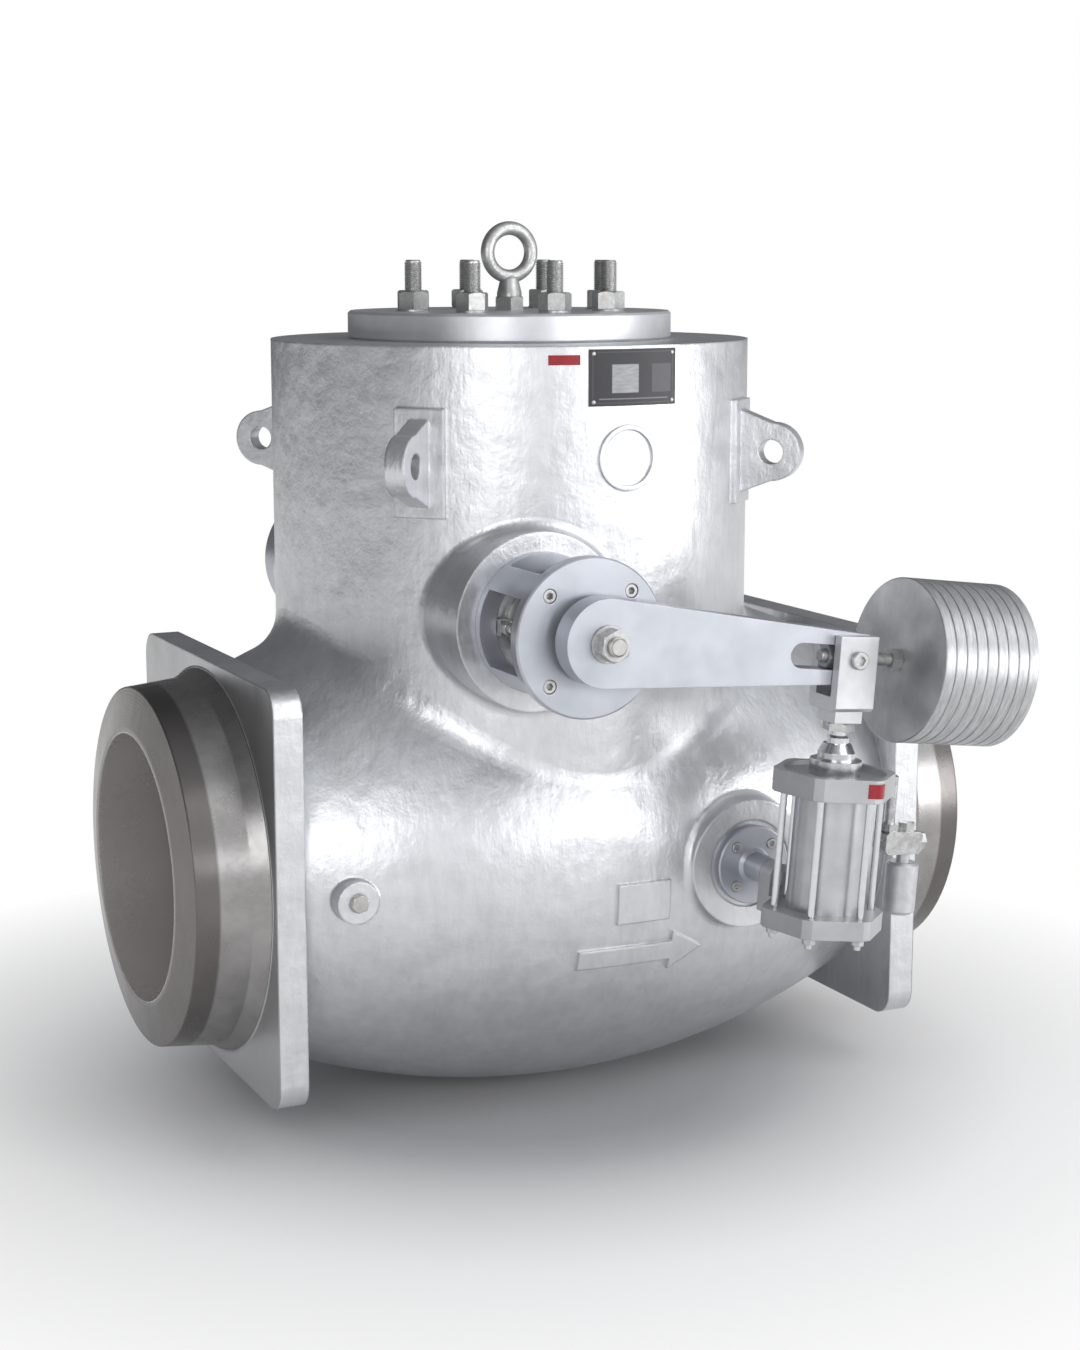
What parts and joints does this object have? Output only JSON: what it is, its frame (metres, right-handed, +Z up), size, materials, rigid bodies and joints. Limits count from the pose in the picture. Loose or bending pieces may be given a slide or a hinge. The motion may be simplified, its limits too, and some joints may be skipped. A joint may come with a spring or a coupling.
{
  "type": "pressure seal check valve",
  "caption": "Cast swing check valve with butt-weld ends, bolted pressure-seal bonnet, outside lever with counterweight and an air cylinder that helps it close.",
  "frame": {"origin": "centre of the inlet weld end's face", "axes": "+X along the run towards the outlet, +Z up the bonnet neck, -Y towards the lever and cylinder"},
  "size_m": [1.5, 1.333, 1.547],
  "materials": {
    "cast_silver": "aluminium-silver paint on a rough sand casting, bare machined weld ends",
    "painted_steel": "silver-grey paint, smooth",
    "machined_steel": "machined steel, satin",
    "zinc_fasteners": "zinc-plated, slightly dull",
    "chromed_rod": "ground and chromed",
    "cylinder_aluminium": "satin anodised",
    "gland_alloy": "turned, satin",
    "bearing_brass": "bearing bronze, turned",
    "fitting_brass": "nickel-plated brass",
    "silencer_alloy": "satin",
    "packing": "graphite, matt",
    "seal": "soft iron with silver finish",
    "nameplate": "thin plate, black with bare silver fields"
  },
  "bodies": {
    "valve": {"body_casting": "cast_silver", "gland_yoke": "painted_steel", "shaft_end_plate": "painted_steel", "blind_cover": "painted_steel", "swivel_bracket": "painted_steel", "seat_ring": "machined_steel", "gland_follower": "machined_steel", "bonnet_plug": "machined_steel", "spacer_ring": "machined_steel", "segment_ring": "machined_steel", "bonnet_retainer": "machined_steel", "side_boss_plug": "machined_steel", "gland_studs": "zinc_fasteners", "gland_nuts": "zinc_fasteners", "yoke_screws": "zinc_fasteners", "blind_cover_bolts": "zinc_fasteners", "bonnet_studs": "zinc_fasteners", "bonnet_washers": "zinc_fasteners", "bonnet_nuts": "zinc_fasteners", "eye_bolt": "zinc_fasteners", "eye_bolt_nut": "zinc_fasteners", "swivel_bracket_screws": "zinc_fasteners", "swivel_circlip": "zinc_fasteners", "lever_side_bushing": "bearing_brass", "blind_side_bushing": "bearing_brass", "packing_rings": "packing", "blind_cover_gasket": "packing", "seal_ring": "seal", "nameplate": "nameplate"},
    "lever_and_shaft": {"lever_arm": "painted_steel", "shaft_end_washer": "zinc_fasteners", "shaft_end_nut": "zinc_fasteners", "weight_rod": "zinc_fasteners", "weight_rod_nuts": "zinc_fasteners", "counterweight_plates": "painted_steel", "clevis_screws": "zinc_fasteners", "hinge_shaft": "machined_steel", "shaft_dog": "machined_steel", "dog_key": "machined_steel"},
    "disc_and_arm": {"hinge_arm": "machined_steel", "disc": "machined_steel", "disc_washer": "machined_steel", "disc_nut": "machined_steel", "disc_lock_pin": "machined_steel"},
    "air_cylinder": {"cylinder_tube": "cylinder_aluminium", "cylinder_top_cap": "cylinder_aluminium", "cylinder_bottom_cap": "cylinder_aluminium", "cylinder_rod_gland": "gland_alloy", "tie_rods": "zinc_fasteners", "tie_rod_nuts": "zinc_fasteners", "air_elbow": "fitting_brass", "exhaust_valve": "fitting_brass", "exhaust_valve_plugs": "fitting_brass", "silencer": "silencer_alloy"},
    "rod_and_clevis": {"clevis": "machined_steel", "clevis_jam_nut": "zinc_fasteners", "piston_rod": "chromed_rod", "piston": "cylinder_aluminium"}
  },
  "joints": [
    {"name": "lever_lift", "type": "hinge", "parent": "valve", "child": "lever_and_shaft", "pos_m": [0.562, 0, 0.448], "axis": [0, -1, 0], "range_deg": [0, 14]},
    {"name": "disc_swing", "type": "hinge", "parent": "lever_and_shaft", "child": "disc_and_arm", "pos_m": [0.562, 0, 0.448], "axis": [0, -1, 0], "range_deg": [0, 40]},
    {"name": "cylinder_swing", "type": "hinge", "parent": "valve", "child": "air_cylinder", "pos_m": [0.95, -0.659, 0.008], "axis": [0, 1, 0], "range_deg": [-0.8, 0]},
    {"name": "rod_stroke", "type": "slide", "parent": "air_cylinder", "child": "rod_and_clevis", "axis": [0.079, 0, 0.9969], "range_m": [0, 0.109]}
  ],
  "couplings": [
    {"joint": "cylinder_swing", "follows": "lever_lift", "ratio": -0.055},
    {"joint": "rod_stroke", "follows": "lever_lift", "m_per_rad": 0.443}
  ]
}
